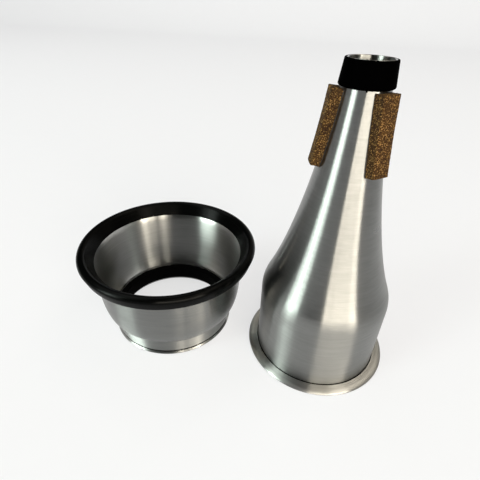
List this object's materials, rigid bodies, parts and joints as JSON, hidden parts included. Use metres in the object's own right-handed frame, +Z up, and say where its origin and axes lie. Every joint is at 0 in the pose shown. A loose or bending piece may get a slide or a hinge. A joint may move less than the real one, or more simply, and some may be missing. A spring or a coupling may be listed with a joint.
{
  "type": "trumpet cup mute",
  "caption": "Bottle-shaped spun aluminium mute with a flanged base, cork pads and a black mouth sleeve, standing beside its loose aluminium cup with a rubber rim and a felt-lined collar.",
  "frame": {"origin": "centre of the mute's base cap, on the surface that both pieces stand on", "axes": "+Z up along the mute's axis towards its open mouth; the loose cup stands on the -X side, its wide rim up"},
  "size_m": [0.1965, 0.1092, 0.17],
  "materials": {
    "spun_aluminium": "satin, fine lathe lines round the axis",
    "turned_aluminium": "satin, fine lathe lines round the axis",
    "sleeve_black": "matt",
    "rubber_black": "semi-gloss",
    "felt_black": "pressed felt",
    "cork_brown": "bare agglomerated sheet cork"
  },
  "bodies": {
    "mute": {"body_shell": "spun_aluminium", "base_cap": "turned_aluminium", "mouth_sleeve": "sleeve_black", "cork_pad_1": "cork_brown", "cork_pad_2": "cork_brown", "cork_pad_3": "cork_brown"},
    "cup": {"cup_shell": "spun_aluminium", "collar_lining": "felt_black", "cup_rim_ring": "rubber_black"}
  },
  "joints": [
    {"name": "cup_lift", "type": "slide", "parent": "mute", "child": "cup", "axis": [0, 0, 1], "range_m": [0, 0.18]}
  ]
}
